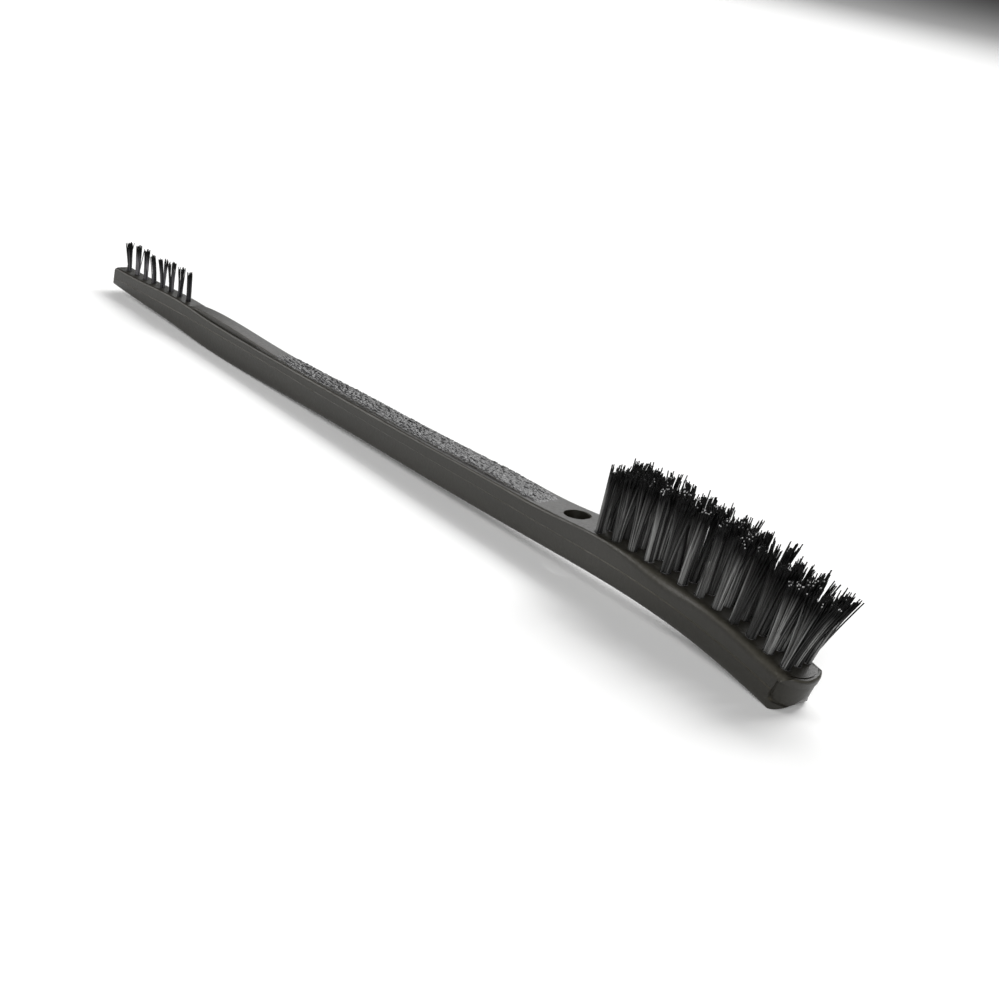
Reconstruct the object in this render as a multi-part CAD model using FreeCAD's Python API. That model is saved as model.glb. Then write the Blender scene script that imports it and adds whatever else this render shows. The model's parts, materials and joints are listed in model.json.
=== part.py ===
"""Double-ended club groove brush: a moulded handle, tufts set in drilled holes, flat anchors.

The handle is drawn in its own frame: x = 0 at the centre of the hang hole, +X towards the large
head, z = 0 level with the underside of the large head's root. Everything is then turned to the way the brush
rests on a table and moved so that the origin is the bottom centre of the bounding box.
"""
import FreeCAD, Part

import math
import os

Vector = FreeCAD.Vector

# Overall sizes, mm
overall_length = 184.0        # small tip to nose, along the handle
hole_to_nose = 49.2           # hang hole centre to the nose
hole_to_head = 7.4            # hang hole centre to where the large head starts to arch
head_arch_radius = 147.0      # convex arch of the large head's tufted face
small_head_length = 27.0      # small tip to the end of the small head

# Thicknesses of the handle
head_thickness = 6.15
head_root_extra = 0.22        # the head is this much thicker where it starts
neck_thickness = 5.85         # at the hang hole
grip_thickness = 5.65
heel_thickness = 5.85         # where the underside starts to taper towards the small head
tip_thickness = 3.6

# Widths of the handle, at the parting line
head_width = 9.2
neck_width = 8.15
heel_width = 4.9
small_head_width = 4.3

# Heights of the top face over the underside's datum
neck_top = 5.6
head_top = 6.15
grip_top = 5.7
heel_top = 6.5
small_head_top = 7.2

# Moulding details
draft_angle = 2.5             # each side of the parting line, degrees
shoulder_radius = 0.45        # long top edges of the grip
head_shoulder_radius = 1.5    # long top edges of the large head
sole_radius = 0.8             # long bottom edges
nose_corner_radius = 4.7      # nose, seen from above
nose_sole_radius = 3.0        # nose, seen from the side
nose_rim_radius = 0.5
end_flat = 0.05               # least half width left flat between an end's two corners
tip_corner_radius = 1.7
tip_sole_radius = 0.9
tip_rim_radius = 0.7
parting_small = 5.0           # height of the parting line along the small head
parting_neck = 3.1
parting_ledge = 0.14          # bevelled step in, over the parting line, at both heads
parting_ledge_grip = 0.04     # the same along the middle of the grip

# Raised grip pad
pad_height = 0.5
pad_fade_height = 0.22        # pad height at its end near the hang hole
pad_width_small = 3.1
pad_width_neck = 5.2
pad_gap = 1.0                 # from the last small tuft to the start of the pad's ramp
pad_to_hole = 3.2             # from the pad's end to the hang hole's lip
pad_ramp = 5.0
pad_edge_radius = 0.2

# Hang hole
hole_diameter = 4.2
hole_lip = 0.12

# Large head tufts
large_columns = 12
large_rows = {"near": -1, "middle": 0, "far": 1}
large_pitch = 3.48
large_row_spacing = 2.4
large_hole_diameter = 1.6
large_hole_depth = 3.6
large_tuft_height = 10.8
large_tuft_top_diameter = 2.2
nose_margin = 3.7             # last column of holes to the nose

# Small head tufts
small_columns = 8
small_pitch = 3.13
small_hole_diameter = 1.1
small_hole_depth = 2.0
small_tuft_height = 5.6
small_tuft_top_diameter = 1.7
tip_margin = 2.9              # small tip to the first hole

# Anchors: one flat strip of wire stock per hole, pressed across it
anchor_thickness = 0.25
anchor_bite = 0.22            # into the hole's wall, each end
anchor_lift = 0.35            # room for the folded filaments under the anchor
large_anchor_height = 1.3
small_anchor_height = 0.7
tuft_clearance = 0.03         # tuft to hole wall and hole bottom

# Nose details
pocket_length = 2.9           # nose to the crisp end of the side wall
pocket_depth = 0.8
pocket_corner_radius = 3.7
pocket_sole = 1.3             # wall left under the pocket
pocket_rim = 1.3              # wall left over the pocket
pocket_fillet = 1.0           # pocket's lower rear corner
seam_width = 0.25
seam_depth = 0.22
seam_inset = 0.6              # nose to the groove
gate_diameter = 0.9
gate_height = 0.15

# Worked out
tip_x = hole_to_nose - overall_length
small_head_end = tip_x + small_head_length
heel_x = small_head_end + 10.5
arch_centre_z = head_top - head_arch_radius
head_length = hole_to_nose - hole_to_head
overshoot = 4.0               # the section loft runs past both ends and is trimmed there
end_allowance = 0.3           # the rounded ends are trimmed by a form this much wider each side
draft = math.tan(math.radians(draft_angle))
neck_bottom = neck_top - neck_thickness


def arch_angle(distance):
    """Turn of the large head's face at a distance along it from the start of the arch."""
    return distance / head_arch_radius


def head_placement(distance, side=0.0):
    """Frame on the large head's face: local X along the face, local Z out of it."""
    angle = arch_angle(distance)
    point = Vector(hole_to_head + head_arch_radius * math.sin(angle), side,
                   arch_centre_z + head_arch_radius * math.cos(angle))
    turn = FreeCAD.Rotation(Vector(0, 1, 0), math.degrees(angle))
    return FreeCAD.Placement(point, turn)


def blend(start, end, share):
    return start + (end - start) * share


def section_wire(placement, top, parting, bottom, width, shoulder, ledge):
    """Closed section across the handle, in the placement's YZ plane: drafted sides, round edges."""
    half_top = width / 2 - ledge - draft * (top - parting)
    half_bottom = width / 2 - draft * (parting - bottom)
    slant = shoulder * math.sin(math.pi / 4)
    sole_slant = sole_radius * math.sin(math.pi / 4)

    def point(y, z):
        return placement.multVec(Vector(0, y, z))

    def arc(first, middle, last):
        return Part.Arc(point(*first), point(*middle), point(*last)).toShape()

    def line(first, last):
        return Part.LineSegment(point(*first), point(*last)).toShape()

    def side(sign):
        low = [(sign * (half_bottom - sole_radius), bottom),
               (sign * (half_bottom - sole_radius + sole_slant), bottom + sole_radius - sole_slant),
               (sign * half_bottom, bottom + sole_radius)]
        high = [(sign * half_top, top - shoulder),
                (sign * (half_top - shoulder + slant), top - shoulder + slant),
                (sign * (half_top - shoulder), top)]
        ledge_line = ((sign * width / 2, parting), (sign * (width / 2 - ledge), parting + ledge))
        return low, ledge_line, high

    near_low, near_ledge, near_high = side(-1)
    far_low, far_ledge, far_high = side(1)
    edges = [line(far_low[0], near_low[0]), arc(*near_low), line(near_low[2], near_ledge[0]),
             line(*near_ledge), line(near_ledge[1], near_high[0]), arc(*near_high),
             line(near_high[2], far_high[2]), arc(*reversed(far_high)),
             line(far_high[0], far_ledge[1]), line(*reversed(far_ledge)),
             line(far_ledge[0], far_low[2]), arc(*reversed(far_low))]
    return Part.Wire(edges)


def straight_section(x, top, parting, bottom, width, ledge):
    return section_wire(FreeCAD.Placement(Vector(x, 0, 0), FreeCAD.Rotation()),
                        top, parting, bottom, width, shoulder_radius, ledge)


def handle_sections():
    """Sections from past the small tip to past the nose."""
    tip_bottom = small_head_top - tip_thickness
    heel_bottom = heel_top - heel_thickness
    sections = []
    for share in (-overshoot / (heel_x - tip_x), 0.0, 0.35, 0.7):
        x = blend(tip_x, heel_x, share)
        sections.append(straight_section(x, small_head_top, parting_small,
                                         blend(tip_bottom, heel_bottom, share),
                                         blend(small_head_width, heel_width, max(share - 0.35, 0)),
                                         parting_ledge))
    grip = [(0.0, heel_top, heel_thickness, parting_ledge),
            (0.2, blend(heel_top, grip_top, 0.55), grip_thickness, parting_ledge),
            (0.6, grip_top, grip_thickness, parting_ledge_grip),
            (0.88, neck_top, neck_thickness, parting_ledge)]
    for share, top, thickness, ledge in grip:
        sections.append(straight_section(blend(heel_x, 0, share), top,
                                         blend(parting_small - 0.1, parting_neck, share),
                                         top - thickness, blend(heel_width, neck_width, share),
                                         ledge))
    sections.append(straight_section(0.0, blend(neck_top, head_top, 0.35), parting_neck,
                                     neck_bottom, neck_width, parting_ledge))
    for share in (0.0, 0.25, 0.5, 0.75, 1.0, 1.0 + overshoot / head_length):
        placement = head_placement(share * head_length)
        width = blend(neck_width, head_width, min(0.5 + 2 * share, 1.0))
        shoulder = blend(shoulder_radius, head_shoulder_radius, min(4 * share, 1.0))
        thickness = head_thickness + head_root_extra * max(1 - 2 * share, 0)
        sections.append(section_wire(placement, 0.0, -head_thickness / 2, -thickness,
                                     width, shoulder, parting_ledge))
    return sections


def wire_of(pieces):
    """Closed wire from pieces: two points make a line, three make an arc."""
    edges = []
    for piece in pieces:
        curve = Part.LineSegment(*piece) if len(piece) == 2 else Part.Arc(*piece)
        edges.append(curve.toShape())
    return Part.Wire(edges)


def rounded_end(half, radius, reach, place):
    """Wire of a strip that ends at 0 with both corners rounded; place maps (along, across).

    The corners meet before they use up the strip's width, so a narrower strip rounds less.
    """
    radius = min(radius, half - end_flat)
    slant = radius * (1 - math.sin(math.pi / 4))
    low = (place(-radius, -half), place(-slant, -half + slant), place(0, -half + radius))
    high = (place(0, half - radius), place(-slant, half - slant), place(-radius, half))
    return wire_of([(place(-reach, -half), low[0]), low, (low[2], high[0]), high,
                    (high[2], place(-reach, half)), (place(-reach, half), place(-reach, -half))])


def end_cutter(placement, width, corner, thickness, sole, rim):
    """What is trimmed off an end: local X points out of the end, local Z out of the top face."""
    reach = 4 * corner
    tall = 2 * thickness
    plan = rounded_end(width / 2 + end_allowance, corner, reach, lambda x, y: Vector(x, y, -tall))
    keep_plan = Part.Face(plan).extrude(Vector(0, 0, tall))
    top_edges = [edge for edge in keep_plan.Edges
                 if edge.BoundBox.ZMin > -rim and edge.BoundBox.XMax > -reach / 2]
    keep_plan = keep_plan.makeFillet(rim, top_edges)
    slant = 1 - math.sin(math.pi / 4)

    def at(x, z):
        return Vector(x, -width, z)

    profile = wire_of([
        (at(-reach, -tall), at(-reach, tall)), (at(-reach, tall), at(0, tall)),
        (at(0, tall), at(0, -thickness + sole)),
        (at(0, -thickness + sole), at(-sole * slant, -thickness + sole * slant),
         at(-sole, -thickness)),
        (at(-sole, -thickness), at(-sole, -tall)), (at(-sole, -tall), at(-reach, -tall))])
    keep_side = Part.Face(profile).extrude(Vector(0, 2 * width, 0))
    back = max(corner, sole) + end_allowance
    block = Part.makeBox(back + 2 * overshoot, 3 * width, 2 * tall,
                         Vector(-back, -1.5 * width, -tall))
    return placed(block.cut(keep_plan.common(keep_side)), placement)


def placed(shape, placement):
    shape.Placement = placement.multiply(shape.Placement)
    return shape


def top_height(body, x):
    """Height of the body's top face on the centre line at x."""
    plumb = Part.makeLine(Vector(x, 0, -overall_length), Vector(x, 0, overall_length))
    return body.common(plumb).BoundBox.ZMax


def pad(body):
    """Raised bar along the grip that carries the grain, sunk into the grip at both ends."""
    start = small_hole_x(small_columns - 1) + small_hole_diameter / 2 + pad_gap
    end = -hole_diameter / 2 - hole_lip - pad_to_hole
    sunk = -0.25
    stations = [(start - pad_edge_radius, sunk), (start + pad_ramp, pad_height)]
    stations += [(blend(start, end, share), blend(pad_height, pad_fade_height, share))
                 for share in (0.25, 0.5, 0.75)]
    stations += [(end - pad_ramp, pad_fade_height), (end, sunk)]
    wires = []
    for x, rise in stations:
        half = blend(pad_width_small, pad_width_neck, (x - start) / (end - start)) / 2
        top = top_height(body, x) + rise
        low = top - pad_height - neck_thickness / 4
        slant = pad_edge_radius * (1 - math.sin(math.pi / 4))
        near = (Vector(x, -half, top - pad_edge_radius), Vector(x, -half + slant, top - slant),
                Vector(x, -half + pad_edge_radius, top))
        far = (Vector(x, half - pad_edge_radius, top), Vector(x, half - slant, top - slant),
               Vector(x, half, top - pad_edge_radius))
        wires.append(wire_of([(Vector(x, -half, low), near[0]), near, (near[2], far[0]), far,
                              (far[2], Vector(x, half, low)),
                              (Vector(x, half, low), Vector(x, -half, low))]))
    return Part.makeLoft(wires, True, False)


def hang_hole(body):
    """Through hole with a bevelled lip at both mouths."""
    top = top_height(body, 0)
    radius = hole_diameter / 2
    bore = Part.makeCylinder(radius, 4 * neck_thickness, Vector(0, 0, -2 * neck_thickness))
    upper = Part.makeCone(radius, radius + 2 * hole_lip, 2 * hole_lip, Vector(0, 0, top - hole_lip))
    lower = Part.makeCone(radius + 2 * hole_lip, radius, 2 * hole_lip,
                          Vector(0, 0, neck_bottom - hole_lip))
    return bore.fuse([upper, lower])


def nose_pockets():
    """Set-back in both corners of the nose, between the rim over it and the sole under it."""
    low = -head_thickness + pocket_sole
    height = head_thickness - pocket_sole - pocket_rim
    core = rounded_end(head_width / 2 - pocket_depth, pocket_corner_radius, 2 * pocket_length,
                       lambda x, y: Vector(x, y, low))
    window = Part.makeBox(2 * pocket_length, 2 * head_width, height,
                          Vector(-pocket_length, -head_width, low))
    corner = [edge for edge in window.Edges
              if edge.BoundBox.ZMax < low + height / 2 and edge.BoundBox.XMax < 0]
    window = window.makeFillet(pocket_fillet, corner)
    pockets = window.cut(Part.Face(core).extrude(Vector(0, 0, height)))
    return placed(pockets, head_placement(head_length))


def nose_seam():
    """Fine groove round the end of the tufted face."""
    nose = head_placement(head_length)
    last_hole = nose_margin - large_hole_diameter / 2 - seam_width
    bands = []
    for inset in (seam_inset, seam_inset + seam_width):
        wire = rounded_end(head_width / 2 + end_allowance - inset, nose_corner_radius - inset,
                           nose_margin * 2, lambda x, y: Vector(x - inset, y, -seam_depth))
        bands.append(Part.Face(wire).extrude(Vector(0, 0, 2 * seam_depth)))
    window = Part.makeBox(last_hole, 2 * head_width, 4 * seam_depth,
                          Vector(-last_hole, -head_width, -2 * seam_depth))
    return placed(bands[0].cut(bands[1]).common(window), nose)


def gate_mark():
    """Stub left by the moulding gate, low on the nose."""
    nose = head_placement(head_length)
    stub = Part.makeCylinder(gate_diameter / 2, 1.0 + gate_height,
                             Vector(-1.0, 0, -head_thickness / 2), Vector(1, 0, 0))
    return placed(stub, nose)


def large_hole_place(column, side):
    """Frame at the mouth of a hole in the large head, local Z out of the hole."""
    last = head_length - nose_margin
    distance = last - (large_columns - 1 - column) * large_pitch
    return head_placement(distance, side * large_row_spacing)


def small_hole_x(column):
    return tip_x + tip_margin + column * small_pitch


def small_hole_place(column):
    return FreeCAD.Placement(Vector(small_hole_x(column), 0, small_head_top), FreeCAD.Rotation())


def drilled_hole(place, diameter, depth):
    over = 1.0
    return placed(Part.makeCylinder(diameter / 2, depth + over, Vector(0, 0, -depth)), place)


def anchor(place, hole_diameter, depth, height):
    """Flat strip standing across a hole, its ends bitten into the wall along the handle."""
    width = hole_diameter + 2 * anchor_bite
    strip = Part.makeBox(width, anchor_thickness, height,
                         Vector(-width / 2, -anchor_thickness / 2, -depth + anchor_lift))
    return placed(strip, place)


def tuft(place, hole_diameter, depth, height, top_diameter, strip):
    """Folded bundle of filaments: straight in its hole, spreading above it, round its anchor."""
    radius = hole_diameter / 2 - tuft_clearance
    root = Part.makeCylinder(radius, depth - tuft_clearance, Vector(0, 0, -depth + tuft_clearance))
    spread = Part.makeCone(radius, top_diameter / 2, height)
    return placed(root.fuse(spread), place).cut(strip).removeSplitter()


def handle_blank():
    """Moulded handle with its pad and nose details, before any hole is drilled."""
    body = Part.makeLoft(handle_sections(), True, False)
    nose = head_placement(head_length)
    body = body.cut(end_cutter(nose, head_width, nose_corner_radius, head_thickness,
                               nose_sole_radius, nose_rim_radius))
    tip = FreeCAD.Placement(Vector(tip_x, 0, small_head_top),
                            FreeCAD.Rotation(Vector(0, 0, 1), 180))
    body = body.cut(end_cutter(tip, small_head_width, tip_corner_radius, tip_thickness,
                               tip_sole_radius, tip_rim_radius))
    body = body.fuse([pad(body), gate_mark()])
    body = body.cut([nose_pockets(), nose_seam(), hang_hole(body)])
    return body.removeSplitter()


def rest_tilt(shape):
    """Turn about Y, in degrees, that lays the underside on a level table."""
    points = [(vertex.x, vertex.z) for vertex in shape.tessellate(0.05)[0]]
    middle = (tip_x + hole_to_nose) / 2
    rear = [p for p in points if p[0] < middle]
    front = [p for p in points if p[0] >= middle]
    angle = 0.0
    for _ in range(40):
        def low(part):
            return min(part, key=lambda p: p[0] * math.sin(angle) + p[1] * math.cos(angle))
        back = low(rear)
        fore = low(front)
        angle = -math.atan2(fore[1] - back[1], fore[0] - back[0])
    return math.degrees(angle)


def build():
    pieces = {"handle": handle_blank()}
    drills = []
    for name, side in large_rows.items():
        strips = []
        for column in range(large_columns):
            place = large_hole_place(column, side)
            strip = anchor(place, large_hole_diameter, large_hole_depth, large_anchor_height)
            drills.append(drilled_hole(place, large_hole_diameter, large_hole_depth))
            strips.append(strip)
            pieces[f"large_tuft_{name}_{column + 1:02d}"] = tuft(
                place, large_hole_diameter, large_hole_depth, large_tuft_height,
                large_tuft_top_diameter, strip)
        pieces[f"large_anchors_{name}"] = Part.makeCompound(strips)
    strips = []
    for column in range(small_columns):
        place = small_hole_place(column)
        strip = anchor(place, small_hole_diameter, small_hole_depth, small_anchor_height)
        drills.append(drilled_hole(place, small_hole_diameter, small_hole_depth))
        strips.append(strip)
        pieces[f"small_tuft_{column + 1:02d}"] = tuft(
            place, small_hole_diameter, small_hole_depth, small_tuft_height,
            small_tuft_top_diameter, strip)
    pieces["small_anchors"] = Part.makeCompound(strips)
    anchors = [pieces[name] for name in pieces if "anchors" in name]
    pieces["handle"] = pieces["handle"].cut(drills).cut(anchors)
    return pieces


def hole_wall_length(shape):
    """Length of the hang hole's straight wall."""
    radius = hole_diameter / 2
    walls = [face for face in shape.Faces if isinstance(face.Surface, Part.Cylinder)
             and abs(face.Surface.Radius - radius) < 1e-6]
    return sum(face.Area for face in walls) / (2 * math.pi * radius)


def lay_down(pieces):
    """Turn every piece to the rest attitude, origin at the bottom centre of the whole box."""
    turn = FreeCAD.Placement(Vector(), FreeCAD.Rotation(Vector(0, 1, 0),
                                                        -rest_tilt(pieces["handle"])))
    for shape in pieces.values():
        placed(shape, turn)
    box = FreeCAD.BoundBox()
    for shape in pieces.values():
        box.add(shape.optimalBoundingBox(False))
    shift = FreeCAD.Placement(Vector(-box.Center.x, -box.Center.y, -box.ZMin), FreeCAD.Rotation())
    for shape in pieces.values():
        placed(shape, shift)
    return shift.multiply(turn)


parts = build()
rest = lay_down(parts)
os.makedirs("parts", exist_ok=True)
for node, piece in parts.items():
    piece.exportStep(f"parts/{node}.step")
bore_length = hole_wall_length(parts["handle"])
print("nodes", len(parts), "rest tilt", round(rest.Rotation.toEuler()[1], 3))
print("hang hole centre", rest.multVec(Vector(0, 0, (neck_top + neck_bottom) / 2)))
print("hang hole axis", rest.Rotation.multVec(Vector(0, 0, 1)), "length", round(bore_length, 3))
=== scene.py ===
# %% [markdown]
# # A double-ended groove brush
# The brush is one black moulded handle with 44 tufts of filament set in drilled holes: three long rows
# on the large head and one short row on the small head. The solid model comes in as a fixed frame.
# It has the true shape of the handle, but each tuft in it is only a plain cone. This lesson gives the
# handle its moulded skin and swaps every cone for real filaments.

import json
import math
import random

import bmesh
import bpy
from mathutils import Matrix, Vector, noise
from mathutils.bvhtree import BVHTree


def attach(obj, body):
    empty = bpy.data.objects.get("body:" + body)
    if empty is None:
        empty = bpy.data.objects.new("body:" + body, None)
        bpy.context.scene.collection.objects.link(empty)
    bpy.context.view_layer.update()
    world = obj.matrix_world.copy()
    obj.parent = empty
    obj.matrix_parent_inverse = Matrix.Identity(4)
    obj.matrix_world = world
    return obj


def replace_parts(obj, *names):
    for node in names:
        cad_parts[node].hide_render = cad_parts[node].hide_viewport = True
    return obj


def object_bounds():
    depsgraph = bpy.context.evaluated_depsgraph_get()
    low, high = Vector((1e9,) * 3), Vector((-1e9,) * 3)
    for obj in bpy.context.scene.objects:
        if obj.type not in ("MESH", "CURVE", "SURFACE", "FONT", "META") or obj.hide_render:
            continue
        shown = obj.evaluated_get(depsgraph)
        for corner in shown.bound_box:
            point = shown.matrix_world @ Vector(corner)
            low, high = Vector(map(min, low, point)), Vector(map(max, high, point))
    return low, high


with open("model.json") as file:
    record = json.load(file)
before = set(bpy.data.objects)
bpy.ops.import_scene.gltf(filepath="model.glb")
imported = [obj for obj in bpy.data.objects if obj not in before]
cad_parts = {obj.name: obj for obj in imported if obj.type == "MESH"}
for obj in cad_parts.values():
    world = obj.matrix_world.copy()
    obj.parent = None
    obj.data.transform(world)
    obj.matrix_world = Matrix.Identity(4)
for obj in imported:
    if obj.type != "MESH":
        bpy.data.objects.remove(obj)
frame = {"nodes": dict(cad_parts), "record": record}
cad_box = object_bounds()
MM = 0.001
print("nodes:", len(frame["nodes"]), "box:", [[round(v / MM, 2) for v in corner] for corner in cad_box])

# %% [markdown]
# ## Where things are
# Nothing is placed by eye. The hang hole is a mount of the record, so its centre and radius can be
# read from there. Each tuft's seat is measured on its own cone: the cone's mesh has a ring of
# corners at the mouth of the hole, about a quarter of the way up, and another at the tips. The centres
# of those two rings give the mouth of the hole and the way the tuft points.

# %% Read the hang hole
hang_hole = frame["record"]["mounts"][0]
hole_centre = Vector(hang_hole["pos_m"])
hole_radius = hang_hole["dims"]["r_mm"] * MM
print("hang hole:", [round(v / MM, 2) for v in hole_centre], "radius", hole_radius / MM)


# %% Measure a tuft's seat
def ring_centre(points):
    """Centre of a ring of corners, each counted once."""
    unique = {tuple(round(v, 6) for v in point) for point in points}
    return sum((Vector(point) for point in unique), Vector()) / len(unique)


seat_passes = 4             # each pass measures along the direction that the last one found
tip_band = 0.04             # the tip ring is this share of a cone's length below its top, or less
mouth_low = 0.18            # the mouth ring lies between these two shares, up from the bottom
mouth_high = 0.29


def tuft_seat(node):
    """Mouth of the tuft's hole, the direction it points in and its height over the mouth."""
    points = [vertex.co for vertex in frame["nodes"][node].data.vertices]
    direction = Vector((0, 0, 1))
    for _ in range(seat_passes):
        heights = [point.dot(direction) for point in points]
        bottom, top = min(heights), max(heights)
        length = top - bottom
        tips = ring_centre([p for p, h in zip(points, heights) if h > top - tip_band * length])
        mouth = ring_centre([p for p, h in zip(points, heights)
                             if bottom + mouth_low * length < h < bottom + mouth_high * length])
        direction = (tips - mouth).normalized()
    return mouth, direction, (tips - mouth).length


large_nodes = sorted(name for name in frame["nodes"] if name.startswith("large_tuft"))
small_nodes = sorted(name for name in frame["nodes"] if name.startswith("small_tuft"))
seats = {name: tuft_seat(name) for name in large_nodes + small_nodes}
for name in (large_nodes[0], large_nodes[-1], small_nodes[0], small_nodes[-1]):
    mouth, direction, height = seats[name]
    print(name, [round(v / MM, 2) for v in mouth], [round(v, 3) for v in direction],
          round(height / MM, 2))

# %% [markdown]
# ## The camera
# The view looks down a little on the near side, with the large head close and the small head far, and
# the camera is rolled so that the brush falls across the picture. It aims at a point beside the hang
# hole, so it follows the brush if a size changes.

# %% Place the camera
aim_from_hole = Vector((-16.98, 0, -1.74)) * MM
camera_distance = 283.6 * MM
azimuth = math.radians(43.43)
elevation = math.radians(21.55)
roll = math.radians(12.0)
sensor_width = 36           # camera film width and focal length, both in millimetres
focal_length = 63.06
nearest_seen = 10 * MM

aim = hole_centre + aim_from_hole
back = Vector((math.sin(azimuth) * math.cos(elevation),
               -math.cos(azimuth) * math.cos(elevation), math.sin(elevation)))
level = Vector((math.cos(azimuth), math.sin(azimuth), 0))
rise = back.cross(level)
camera_right = level * math.cos(roll) + rise * math.sin(roll)
camera_up = rise * math.cos(roll) - level * math.sin(roll)

camera_data = bpy.data.cameras.new("camera")
camera_data.sensor_width = sensor_width
camera_data.lens = focal_length
camera_data.clip_start = nearest_seen
camera = bpy.data.objects.new("camera", camera_data)
camera.matrix_world = (Matrix.Translation(aim + back * camera_distance)
                       @ Matrix((camera_right, camera_up, back)).transposed().to_4x4())
bpy.context.scene.collection.objects.link(camera)
bpy.context.scene.camera = camera
print("camera at", [round(v / MM, 1) for v in camera.matrix_world.translation])

# %% [markdown]
# ## Two shared effects
# Moulded nylon is never one flat colour. The mould's surface leaves a very fine grain, the plastic's
# flow leaves broad faint streaks along the handle, and handling leaves small scuffs that are lighter
# and rougher. Faces that slope partly upwards are also lightened, which is a painted sheen. Three
# materials use this skin at different strengths, so it is one node group with named inputs. The
# second group gives filaments their own random shade, a pale tone that is partly a painted highlight
# and fades to painted shade towards the tip, and painted glints on some cut ends, from two attributes
# that the filament code writes on each vertex.


# %% Small node helpers
def new_group(name, inputs, outputs):
    """A shader node group with its sockets, and its two end nodes."""
    group = bpy.data.node_groups.new(name, "ShaderNodeTree")
    for socket_name, kind, value in inputs:
        socket = group.interface.new_socket(socket_name, in_out="INPUT", socket_type=kind)
        socket.default_value = value
    for socket_name, kind in outputs:
        group.interface.new_socket(socket_name, in_out="OUTPUT", socket_type=kind)
    return group, group.nodes.new("NodeGroupInput"), group.nodes.new("NodeGroupOutput")


def math_node(tree, operation, first, second):
    """Math on two values; each is a socket or a number."""
    node = tree.nodes.new("ShaderNodeMath")
    node.operation = operation
    for socket, value in zip(node.inputs, (first, second)):
        if isinstance(value, (int, float)):
            socket.default_value = value
        else:
            tree.links.new(value, socket)
    return node.outputs[0]


def remap(tree, value, low, high, to_low, to_high):
    """Value taken from one range to another, held inside it."""
    node = tree.nodes.new("ShaderNodeMapRange")
    tree.links.new(value, node.inputs["Value"])
    node.inputs["From Min"].default_value = low
    node.inputs["From Max"].default_value = high
    node.inputs["To Min"].default_value = to_low
    node.inputs["To Max"].default_value = to_high
    return node.outputs["Result"]


def noise_texture(tree, vector, scale, detail, stretch=(1, 1, 1)):
    """Noise on a vector that is first stretched; a small stretch makes long streaks that way."""
    mapping = tree.nodes.new("ShaderNodeMapping")
    mapping.inputs["Scale"].default_value = stretch
    tree.links.new(vector, mapping.inputs["Vector"])
    node = tree.nodes.new("ShaderNodeTexNoise")
    node.inputs["Scale"].default_value = scale
    node.inputs["Detail"].default_value = detail
    tree.links.new(mapping.outputs["Vector"], node.inputs["Vector"])
    return node.outputs["Fac"]


# %% Build the moulded skin
flow_scale = 260            # noise features to a metre
grain_scale = 5200
pit_scale = 1700
scuff_scale = 900
flow_stretch = (0.12, 1, 1)     # a small first value draws the pattern out along the handle
scuff_stretch = (0.25, 1, 1)
flow_tone = 0.55            # how far each effect moves the colour from Dark to Light
pit_tone = 0.25
scuff_tone = 0.45
pit_roughness = 0.05
scuff_roughness = 0.14


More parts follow.
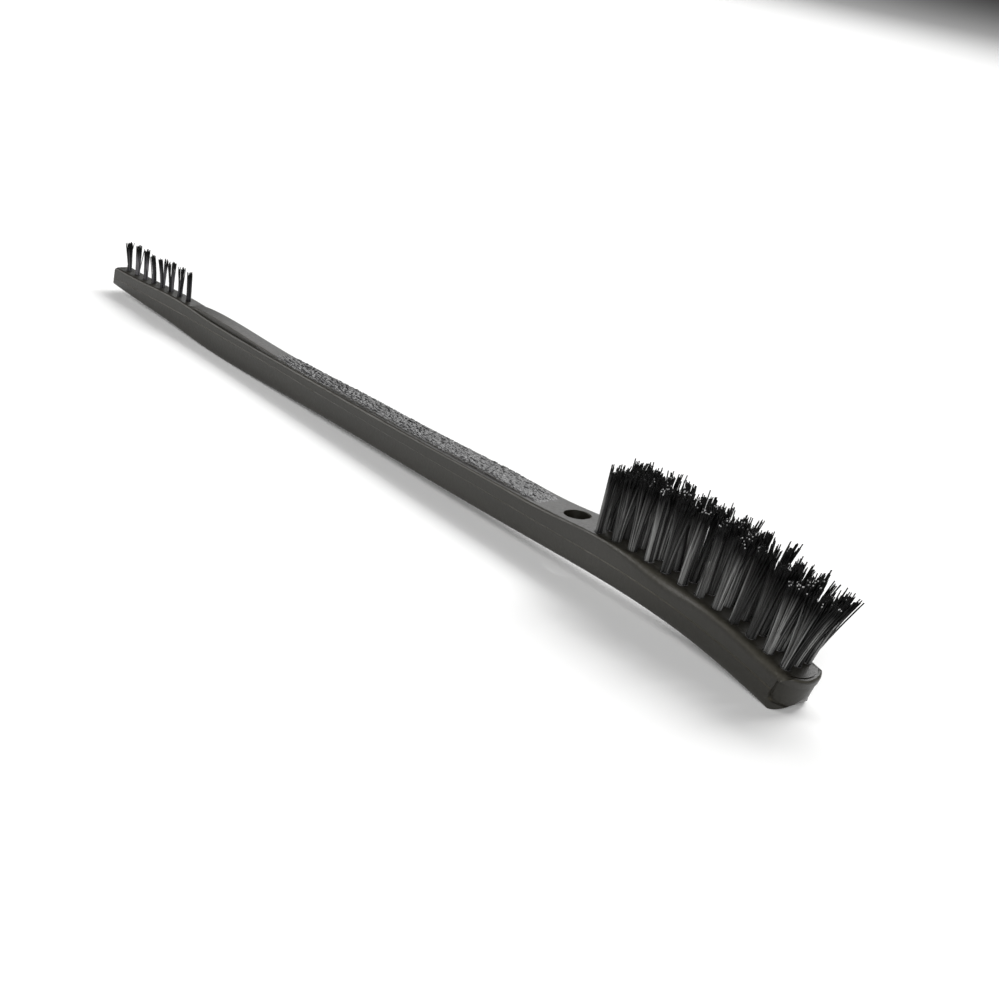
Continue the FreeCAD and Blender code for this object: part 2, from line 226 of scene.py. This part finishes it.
def build_moulded_skin():
    """Group for moulded plastic: flow streaks, grain, pits, scuffs and a painted sheen on sloping
    faces.
    """
    group, ends_in, ends_out = new_group(
        "moulded_skin",
        [("Vector", "NodeSocketVector", (0, 0, 0)), ("Dark", "NodeSocketColor", (0, 0, 0, 1)),
         ("Light", "NodeSocketColor", (1, 1, 1, 1)), ("Roughness", "NodeSocketFloat", 0.4),
         ("Grain", "NodeSocketFloat", 1.0), ("Scuffs", "NodeSocketFloat", 1.0),
         ("Painted sheen", "NodeSocketFloat", 0.0)],
        [("Color", "NodeSocketColor"), ("Roughness", "NodeSocketFloat"),
         ("Height", "NodeSocketFloat")])
    vector = ends_in.outputs["Vector"]
    flow = noise_texture(group, vector, flow_scale, 3, flow_stretch)
    grain = noise_texture(group, vector, grain_scale, 2)
    pits = noise_texture(group, vector, pit_scale, 3)
    scuff_shape = noise_texture(group, vector, scuff_scale, 6, scuff_stretch)
    scuffs = math_node(group, "MULTIPLY", remap(group, scuff_shape, 0.62, 0.72, 0, 1),
                       ends_in.outputs["Scuffs"])
    tone = math_node(group, "ADD", remap(group, flow, 0.3, 0.7, 0, flow_tone),
                     remap(group, pits, 0.35, 0.7, 0, pit_tone))
    tone = math_node(group, "ADD", tone, math_node(group, "MULTIPLY", scuffs, scuff_tone))
    # Faces that slope partly upwards are lightened here, varied a little by the flow: a painted sheen.
    facing = group.nodes.new("ShaderNodeSeparateXYZ")
    group.links.new(group.nodes.new("ShaderNodeNewGeometry").outputs["Normal"],
                    facing.inputs["Vector"])
    sloping = math_node(group, "MULTIPLY", remap(group, facing.outputs["Z"], 0.2, 0.5, 0, 1),
                        remap(group, facing.outputs["Z"], 0.7, 0.93, 1, 0))
    painted_sheen = math_node(group, "MULTIPLY", sloping, remap(group, flow, 0.3, 0.7, 0.4, 1.0))
    tone = math_node(group, "ADD", tone,
                     math_node(group, "MULTIPLY", painted_sheen, ends_in.outputs["Painted sheen"]))
    colour = group.nodes.new("ShaderNodeMix")
    colour.data_type = "RGBA"
    colour.clamp_factor = False
    group.links.new(tone, colour.inputs["Factor"])
    group.links.new(ends_in.outputs["Dark"], colour.inputs["A"])
    group.links.new(ends_in.outputs["Light"], colour.inputs["B"])
    group.links.new(colour.outputs["Result"], ends_out.inputs["Color"])
    rough = math_node(group, "ADD", ends_in.outputs["Roughness"],
                      remap(group, pits, 0.3, 0.7, -pit_roughness, pit_roughness))
    rough = math_node(group, "ADD", rough,
                      math_node(group, "MULTIPLY", scuffs, scuff_roughness))
    group.links.new(rough, ends_out.inputs["Roughness"])
    height = math_node(group, "ADD", math_node(group, "MULTIPLY", grain, 0.5), pits)
    height = math_node(group, "MULTIPLY", height, ends_in.outputs["Grain"])
    group.links.new(height, ends_out.inputs["Height"])
    return group


moulded_skin = build_moulded_skin()
print("group:", moulded_skin.name, len(moulded_skin.nodes), "nodes")


# %% Build the filament finish
draw_line_scale = 2600
draw_line_stretch = (1, 1, 0.1)
# Painted shade: towards the tip a filament's pale tone, partly a painted highlight, fades to near
# black.
shading_starts = 0.5        # shares of a filament's length between which its pale tone fades away
shading_ends = 0.88
cut_end_starts = 0.985


def build_filament_finish():
    """Drawn filament: own shade, pale tone partly a painted highlight, painted tip shade, painted
    cut-end glints.
    """
    group, ends_in, ends_out = new_group(
        "filament_finish",
        [("Dark", "NodeSocketColor", (0, 0, 0, 1)), ("Light", "NodeSocketColor", (1, 1, 1, 1)),
         ("Cut end glint", "NodeSocketColor", (1, 1, 1, 1)), ("Roughness", "NodeSocketFloat", 0.3)],
        [("Color", "NodeSocketColor"), ("Roughness", "NodeSocketFloat"),
         ("Height", "NodeSocketFloat")])
    shade = group.nodes.new("ShaderNodeAttribute")
    shade.attribute_name = "shade"
    along = group.nodes.new("ShaderNodeAttribute")
    along.attribute_name = "along"
    place = group.nodes.new("ShaderNodeTexCoord")
    draw_lines = noise_texture(group, place.outputs["Object"], draw_line_scale, 2,
                               draw_line_stretch)
    tone = math_node(group, "MULTIPLY", shade.outputs["Fac"],
                     remap(group, draw_lines, 0.3, 0.7, 0.7, 1.2))
    # Painted shade: the pale tone fades to near black towards the tip.
    tone = math_node(group, "MULTIPLY", tone,
                     remap(group, along.outputs["Fac"], shading_starts, shading_ends, 1, 0.01))
    body = group.nodes.new("ShaderNodeMix")
    body.data_type = "RGBA"
    group.links.new(tone, body.inputs["Factor"])
    group.links.new(ends_in.outputs["Dark"], body.inputs["A"])
    group.links.new(ends_in.outputs["Light"], body.inputs["B"])
    # Painted glints: the tips of some filaments, picked by their shade, take the pale cut-end colour.
    cut = group.nodes.new("ShaderNodeMix")
    cut.data_type = "RGBA"
    glint = math_node(group, "MULTIPLY",
                      remap(group, along.outputs["Fac"], cut_end_starts, 1.0, 0, 1),
                      remap(group, shade.outputs["Fac"], 0.55, 0.8, 0.0, 1))
    group.links.new(glint, cut.inputs["Factor"])
    group.links.new(body.outputs["Result"], cut.inputs["A"])
    group.links.new(ends_in.outputs["Cut end glint"], cut.inputs["B"])
    group.links.new(cut.outputs["Result"], ends_out.inputs["Color"])
    rough = math_node(group, "ADD", ends_in.outputs["Roughness"],
                      math_node(group, "MULTIPLY", shade.outputs["Fac"], 0.12))
    group.links.new(rough, ends_out.inputs["Roughness"])
    group.links.new(draw_lines, ends_out.inputs["Height"])
    return group


filament_finish = build_filament_finish()
print("group:", filament_finish.name, len(filament_finish.nodes), "nodes")


# %% [markdown]
# ## The finishes
# The handle is satin nylon, so it has a fairly rough surface with a soft sheen. The raised pad is the
# same plastic with a deeper grain and more scuffs; its paler, cooler colours are a painted sheen. The
# filaments are drawn nylon: nearly black, smoother than the handle, with a pale tone that is partly a
# painted highlight and painted glints on some cut ends. The anchors are brass wire.


# %% Make the finishes
def finish(material_name, group, values, bump_distance, specular):
    """A material whose colour, roughness and bump come from one of the shared groups."""
    material = bpy.data.materials.new(material_name)
    material.use_nodes = True
    tree = material.node_tree
    shader = tree.nodes["Principled BSDF"]
    shader.inputs["Specular IOR Level"].default_value = specular
    effect = tree.nodes.new("ShaderNodeGroup")
    effect.node_tree = group
    for socket_name, value in values.items():
        effect.inputs[socket_name].default_value = value
    if "Vector" in effect.inputs:
        place = tree.nodes.new("ShaderNodeTexCoord")
        tree.links.new(place.outputs["Object"], effect.inputs["Vector"])
    bump = tree.nodes.new("ShaderNodeBump")
    bump.inputs["Strength"].default_value = 1.0
    bump.inputs["Distance"].default_value = bump_distance
    tree.links.new(effect.outputs["Height"], bump.inputs["Height"])
    tree.links.new(effect.outputs["Color"], shader.inputs["Base Color"])
    tree.links.new(effect.outputs["Roughness"], shader.inputs["Roughness"])
    tree.links.new(bump.outputs["Normal"], shader.inputs["Normal"])
    return material


# On the handle, faces that slope upwards take a strong painted sheen.
handle_plastic = finish("handle_plastic", moulded_skin,
                        {"Dark": (0.0095, 0.0085, 0.0058, 1), "Light": (0.020, 0.0182, 0.0135, 1),
                         "Roughness": 0.38, "Grain": 1.0, "Scuffs": 0.6, "Painted sheen": 4.0},
                        0.00003, 0.5)
# The pad's paler, cooler colours make it a lit copy of the handle's plastic: a painted sheen.
pad_sheen_plastic = finish("pad_sheen_plastic", moulded_skin,
                     {"Dark": (0.010, 0.0098, 0.0102, 1), "Light": (0.045, 0.0445, 0.046, 1),
                      "Roughness": 0.27, "Grain": 1.6, "Scuffs": 1.0, "Painted sheen": 0.5},
                     0.00004, 0.7)
# The nylon's pale Light colour is partly a painted highlight of lit streaks, and the cut-end colour is
# a painted glint.
large_nylon = finish("large_nylon", filament_finish,
                     {"Dark": (0.0008, 0.0008, 0.0008, 1), "Light": (0.2, 0.2, 0.196, 1),
                      "Cut end glint": (0.5, 0.5, 0.5, 1), "Roughness": 0.36}, 0.00001, 0.12)
small_nylon = finish("small_nylon", filament_finish,
                     {"Dark": (0.001, 0.001, 0.0012, 1), "Light": (0.17, 0.165, 0.175, 1),
                      "Cut end glint": (0.2, 0.2, 0.2, 1), "Roughness": 0.36}, 0.00001, 0.12)
brass = finish("anchor_brass", moulded_skin,
               {"Dark": (0.50, 0.36, 0.16, 1), "Light": (0.78, 0.60, 0.30, 1),
                "Roughness": 0.28, "Grain": 0.6, "Scuffs": 1.0}, 0.00002, 0.5)
brass.node_tree.nodes["Principled BSDF"].inputs["Metallic"].default_value = 1.0
print("finishes:", [m.name for m in (handle_plastic, pad_sheen_plastic, large_nylon, small_nylon, brass)])


# %% [markdown]
# ## The handle and the anchors
# Their shapes are already right, with the parting ledge, the pad, the hang hole and the nose pockets,
# so they stay and only take their finishes.

# %% Paint the carried-over pieces
for name, node in frame["nodes"].items():
    node.data.materials.clear()
    node.data.materials.append(brass if "anchors" in name else handle_plastic)
handle = frame["nodes"]["handle"]
print("handle:", len(handle.data.polygons), "triangles")


# %% [markdown]
# ## A piece, start to finish
# Each new piece ends the same way: its mesh becomes an object at the origin, takes its finish, and
# rides on the one body of the brush.


# %% Finish a new piece
def add_piece(name, bm, material):
    """The finished object of a mesh, shaded smooth, on the brush's one body."""
    mesh = bpy.data.meshes.new(name)
    bm.normal_update()
    bm.to_mesh(mesh)
    bm.free()
    mesh.materials.append(material)
    for polygon in mesh.polygons:
        polygon.use_smooth = True
    piece = bpy.data.objects.new(name, mesh)
    bpy.context.scene.collection.objects.link(piece)
    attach(piece, "root")
    return piece


# %% [markdown]
# ## One filament
# A filament is a thin drawn rod with a cut end. It could be a curve with a bevel, but a few thousand
# curves are slow and hard to bend together. So one short five-sided rod is made once, cut into rings
# along its length, and copied: every copy is then bent ring by ring. It has only 37 faces.

# %% Make the filament rod
rod_sides = 5
rod_cuts = 6
bm = bmesh.new()
bmesh.ops.create_cone(bm, cap_ends=True, cap_tris=False, segments=rod_sides,
                      radius1=1.0, radius2=1.0, depth=1.0)
bmesh.ops.translate(bm, verts=bm.verts, vec=(0, 0, 0.5))
long_edges = [edge for edge in bm.edges if abs(edge.verts[0].co.z - edge.verts[1].co.z) > 0.5]
bmesh.ops.subdivide_edges(bm, edges=long_edges, cuts=rod_cuts)
rod = bpy.data.meshes.new("filament_rod")
bm.to_mesh(rod)
bm.free()
print("rod:", len(rod.vertices), "corners,", len(rod.polygons), "faces")


# %% [markdown]
# ## One tuft
# A tuft is a bundle folded over its anchor, so all its filaments leave one round hole, packed like a
# bundle of straws, and spread a little as they rise. Sunflower spacing fills the round hole evenly.
# Each filament then gets a small lean of its own, a slight bow and its own length, because real tips
# are never level. The whole tuft also leans a little, so that no two tufts are the same.


# %% Bend filaments into a tuft
lean_power = 1.5            # over 1, so that a filament leaves its hole straight and leans higher up
tip_taper = 0.8
height_spread = (0.98, 1.03)
lock_shades = (0.3, 1.0)
filament_shades = (0.4, 1.3)
thickness_spread = (0.9, 1.1)
stray_factor = 4.0          # how much looser a stray filament is
bow_share = 0.25            # a filament's bow, as a share of its looseness


def add_filament(bm, root, axis, lean, bow, length, radius, shade):
    """Copies the rod into bm and bends it: it leans more the higher it is, and bows in the middle."""
    start = len(bm.verts)
    bm.from_mesh(rod)
    bm.verts.ensure_lookup_table()
    shade_layer = bm.verts.layers.float["shade"]
    along_layer = bm.verts.layers.float["along"]
    across = axis.orthogonal().normalized()
    aside = axis.cross(across)
    for vertex in bm.verts[start:]:
        share = vertex.co.z
        taper = tip_taper if share > 0.999 else 1.0
        middle = (root + axis * (length * share) + lean * share ** lean_power
                  + bow * math.sin(math.pi * share))
        vertex.co = middle + (across * vertex.co.x + aside * vertex.co.y) * (radius * taper)
        vertex[shade_layer] = shade
        vertex[along_layer] = share


def tuft(name, style, chance, comb, growth):
    """A bundle of bent filaments for one cone; comb is a shared lean, growth scales its height."""
    mouth, direction, height = seats[name]
    across = direction.orthogonal().normalized()
    aside = direction.cross(across)

    def drift(size):
        """A random sideways push, about size long."""
        return across * chance.gauss(0, size) + aside * chance.gauss(0, size)

    bm = bmesh.new()
    bm.verts.layers.float.new("shade")
    bm.verts.layers.float.new("along")
    packed_radius = style["hole_radius"] - style["filament_radius"]
    tuft_lean = comb + drift(style["tuft_lean"])
    tuft_height = height * growth * chance.uniform(*height_spread)
    turn = chance.uniform(0, math.tau)
    locks = [(drift(style["lock_lean"]), chance.uniform(*lock_shades))
             for _ in range(style["locks"])]
    for index in range(style["count"]):
        reach = packed_radius * math.sqrt((index + 0.5) / style["count"])
        angle = index * math.pi * (3 - math.sqrt(5)) % math.tau
        out = across * math.cos(angle + turn) + aside * math.sin(angle + turn)
        lock_lean, lock_shade = locks[int(angle / math.tau * len(locks))]
        stray = chance.random() < style["strays"]
        loose = style["looseness"] * (stray_factor if stray else 1.0)
        lean = (out * (reach / packed_radius) * style["spread"] + tuft_lean + lock_lean
                + drift(loose))
        length = tuft_height + chance.gauss(0, style["ragged"]) + style["sunk"]
        root = mouth + out * reach - direction * style["sunk"]
        shade = min((lock_shade * chance.uniform(*filament_shades)) ** 2, 1.0)
        add_filament(bm, root, direction, lean, drift(loose * bow_share), length,
                     style["filament_radius"] * chance.uniform(*thickness_spread), shade)
    return bm


# %% [markdown]
# ## Two kinds of tuft
# The filaments of a tuft part into a few locks, and each lock has its own lean and shade, which leaves
# the dark gaps between them. On the large head the first tufts lean towards the nose, the last ones
# fan out over it, and the tips stand a little higher towards the nose. The small head has thinner
# filament, so its tufts look split and uneven.

# %% Set all the tufts
large_style = {"count": 42, "hole_radius": 0.8 * MM, "filament_radius": 0.115 * MM, "locks": 5,
               "lock_lean": 0.46 * MM, "spread": 0.55 * MM, "tuft_lean": 0.22 * MM,
               "looseness": 0.16 * MM, "strays": 0.06, "ragged": 0.4 * MM, "sunk": 0.8 * MM}
small_style = {"count": 26, "hole_radius": 0.52 * MM, "filament_radius": 0.09 * MM, "locks": 4,
               "lock_lean": 0.26 * MM, "spread": 0.2 * MM, "tuft_lean": 0.34 * MM,
               "looseness": 0.1 * MM, "strays": 0.05, "ragged": 0.2 * MM, "sunk": 0.5 * MM}
fan_style = {**large_style, "spread": 0.9 * MM, "strays": 0.14}

first_comb = 1.5 * MM       # lean towards the nose at the first column
comb_reach = 0.3            # share of the head over which that lean dies away
nose_comb = 0.5 * MM        # and again at the last column
lowest_growth = 0.98        # height of the first column, and how much it gains by growth_reach
growth_gain = 0.11
growth_reach = 0.5
fan_starts = 0.95

seed = 44
chance = random.Random(seed)
first_x = min(seats[name][0].x for name in large_nodes)
last_x = max(seats[name][0].x for name in large_nodes)
for name in large_nodes:
    along_head = (seats[name][0].x - first_x) / (last_x - first_x)
    comb = Vector((first_comb * max(0.0, 1 - along_head / comb_reach)
                   + nose_comb * along_head ** 4, 0, 0))
    growth = lowest_growth + growth_gain * min(along_head / growth_reach, 1.0)
    style = fan_style if along_head > fan_starts else large_style
    bundle = tuft(name, style, chance, comb, growth)
    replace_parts(add_piece(name.replace("tuft", "bundle"), bundle, large_nylon), name)
for name in small_nodes:
    bundle = tuft(name, small_style, chance, Vector(), 1.0)
    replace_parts(add_piece(name.replace("tuft", "bundle"), bundle, small_nylon), name)
print("filaments:", large_style["count"] * len(large_nodes)
      + small_style["count"] * len(small_nodes))


# %% [markdown]
# ## The grained pad
# The pad's grain is a real relief: rounded pebbles, longer than they are wide, with dark creases
# between them. A bump in the material would vanish at the pad's outline, so a fine grid is laid over
# the pad and lifted into pebbles. Rays cast down on the handle give the height under each corner.
# The grid dives under the pad's skin at its margins, and its lower side is closed inside the pad.

# %% Cast rays on the handle
skin = BVHTree.FromPolygons([v.co for v in handle.data.vertices],
                            [p.vertices for p in handle.data.polygons])


def skin_height(x, y):
    """Height of the handle's upper surface over a place, or None off the handle."""
    hit = skin.ray_cast(Vector((x, y, cad_box[1][2] + MM)), Vector((0, 0, -1)))[0]
    return hit.z if hit else None


# %% Find the pad
grain_reach = 84 * MM       # hang hole centre to the far end of the grain
grain_to_hole = 3.4 * MM    # grain to the hang hole's rim
pad_drop = 0.12 * MM        # the skin this far below the middle is past the pad's edge
pad_step = 0.05 * MM
widest_pad = 4 * MM
grain_start = hole_centre.x - grain_reach
grain_end = hole_centre.x - hole_radius - grain_to_hole


def pad_half_width(x):
    """Half the pad's flat width, found by stepping sideways until the skin drops."""
    top = skin_height(x, 0)
    y = 0.0
    while y < widest_pad and (skin_height(x, y) or 0) > top - pad_drop:
        y += pad_step
    return y


rear_half = pad_half_width(grain_start)
middle_x = (grain_start + grain_end) / 2
widening = (pad_half_width(middle_x) - rear_half) / (middle_x - grain_start)
print("pad half widths:", round(rear_half / MM, 2), "widening", round(widening, 4))


# %% Shape the pebbles
pebble_length = 1.3 * MM
pebble_width = 0.65 * MM
pebble_height = 0.34 * MM
grid_step = 0.12 * MM
margin = 0.15 * MM
dive = 0.07 * MM
slab = 0.3 * MM
overhang = 0.05 * MM        # of the grid past the pad's measured half width
sink = 0.02 * MM            # of the creases below the pad's skin
fade_in = 13 * MM           # the grain rises slowly at its far end and fast by the hole
fade_out = 2 * MM
warp_scale = 0.9
warp = 0.35
crease_width = 0.32
lowest_pebble = 0.45        # share of the full height, and how much more a high pebble has
pebble_range = 0.55
pebble_variety = 3.7


def pebble(x, y):
    """Height of the pebbled grain, from 0 in a crease to 1 on a high pebble."""
    place = Vector((x / pebble_length, y / pebble_width, 0))
    place += noise.noise_vector(place * warp_scale) * warp
    distances, cells = noise.voronoi(place)
    crease = min((distances[1] - distances[0]) / crease_width, 1.0)
    rounded = crease * (2 - crease)
    return rounded * (lowest_pebble + pebble_range * abs(noise.noise(cells[0] * pebble_variety)))


def fade(distance, width):
    """0 at an edge, rising smoothly to 1 at width from it."""
    share = max(0.0, min(distance / width, 1.0))
    return share * share * (3 - 2 * share)


noise.seed_set(seed)        # without it, noise_vector's pattern would change with the clock
bm = bmesh.new()
columns = round((grain_end - grain_start) / grid_step)
rows = round(2 * (rear_half + widening * (grain_end - grain_start) / 2) / grid_step)
bmesh.ops.create_grid(bm, x_segments=columns, y_segments=rows, size=0.5)
for vertex in bm.verts:
    x = grain_start + (vertex.co.x + 0.5) * (grain_end - grain_start)
    half = rear_half + widening * (x - grain_start) + overhang
    y = vertex.co.y * 2 * half
    kept = (fade(half - abs(y), margin) * fade(x - grain_start, fade_in)
            * fade(grain_end - x, fade_out))
    vertex.co = Vector((x, y, skin_height(x, y) + kept * pebble_height * pebble(x, y)
                        - dive * (1 - kept) - sink))
bmesh.ops.solidify(bm, geom=bm.faces[:], thickness=slab)
bmesh.ops.recalc_face_normals(bm, faces=bm.faces[:])
grain = add_piece("grip_grain", bm, pad_sheen_plastic)
print("grain:", len(grain.data.polygons), "faces, box",
      [round(v / MM, 2) for v in grain.dimensions])


# %% [markdown]
# ## Burrs at the hole mouths
# Drilling throws up a small ragged lip round each hole, which catches the light beside every tuft. One
# thin ring is spun for each hole, and each corner is pushed up or down by noise, so no two match.

# %% Spin the burrs
burr_steps = 12
large_burr = {"radius": 0.83 * MM, "thickness": 0.07 * MM}
small_burr = {"radius": 0.58 * MM, "thickness": 0.06 * MM}
jag_size = 0.45 * MM
jag_height = 0.09 * MM
burr_sink = 0.015 * MM


def add_burr(bm, mouth, direction, radius, thickness):
    """Thin ragged ring round a hole's mouth."""
    across = direction.orthogonal().normalized()
    profile = bmesh.ops.create_circle(bm, segments=4, radius=thickness)["verts"]
    upright = Matrix((across, direction, across.cross(direction))).transposed().to_4x4()
    bmesh.ops.transform(bm, verts=profile,
                        matrix=Matrix.Translation(mouth + across * radius) @ upright)
    edges = list(dict.fromkeys(edge for vertex in profile for edge in vertex.link_edges))
    bmesh.ops.spin(bm, geom=profile + edges, cent=mouth, axis=direction, angle=math.tau,
                   steps=burr_steps, use_merge=True)


bm = bmesh.new()
for name in large_nodes + small_nodes:
    mouth, direction, _ = seats[name]
    add_burr(bm, mouth, direction, **(large_burr if name in large_nodes else small_burr))
for vertex in bm.verts:
    jag = noise.noise(vertex.co / jag_size)
    vertex.co += Vector((0, 0, jag_height * jag - burr_sink))
bmesh.ops.recalc_face_normals(bm, faces=bm.faces[:])
# The burrs take the pad's paler plastic, a painted sheen on top of the light their lips catch.
burrs = add_piece("hole_burrs", bm, pad_sheen_plastic)
print("burrs:", len(burrs.data.polygons), "faces")

# %% [markdown]
# ## The studio
# The brush lies on a plain white sweep under soft lamps. The key stands high behind the right end, so
# it draws the sheen on the top faces and throws the shadow towards the lower left. Two more lamps
# behind widen that sheen, and two low fills light the near side and the faces of the tufts.

# %% Light the set
lamp_distance = 1.2         # metres from the point the camera aims at
lamp_size = 0.6
world_strength = 0.02

scene = bpy.context.scene
scene.view_settings.view_transform = "Standard"
world = bpy.data.worlds.new("studio")
scene.world = world
world.use_nodes = True
surround = world.node_tree.nodes["Background"]
surround.inputs["Color"].default_value = (1, 1, 1, 1)
surround.inputs["Strength"].default_value = world_strength


def add_lamp(name, turn, height, power):
    """Square soft lamp round the brush; turn is clockwise from straight behind it, in degrees."""
    flat = (Matrix.Rotation(math.radians(-turn), 3, "Z") @ -back).to_2d().normalized()
    climb = math.radians(height)
    away = Vector((flat.x * math.cos(climb), flat.y * math.cos(climb), math.sin(climb)))
    data = bpy.data.lights.new(name, "AREA")
    data.size = lamp_size
    data.energy = power
    lamp = bpy.data.objects.new(name, data)
    lamp.matrix_world = (Matrix.Translation(aim + away * lamp_distance)
                         @ (-away).to_track_quat("-Z", "Y").to_matrix().to_4x4())
    scene.collection.objects.link(lamp)


add_lamp("key", 45, 50, 9.2)
add_lamp("back_high", 0, 50, 4.3)
add_lamp("back_low", 0, 25, 2.0)
add_lamp("front_fill", 180, 25, 10.5)
add_lamp("left_fill", 275, 25, 5.4)

# %% Lay the floor
floor_half_size = 2.0       # metres
paper_colour = (0.97, 0.97, 0.965, 1)
paper_roughness = 0.9

bm = bmesh.new()
bmesh.ops.create_grid(bm, x_segments=1, y_segments=1, size=floor_half_size)
floor_mesh = bpy.data.meshes.new("floor")
bm.to_mesh(floor_mesh)
bm.free()
floor = bpy.data.objects.new("floor", floor_mesh)
scene.collection.objects.link(floor)
paper = bpy.data.materials.new("white_sweep")
paper.use_nodes = True
paper_shader = paper.node_tree.nodes["Principled BSDF"]
paper_shader.inputs["Base Color"].default_value = paper_colour
paper_shader.inputs["Roughness"].default_value = paper_roughness
floor.data.materials.append(paper)
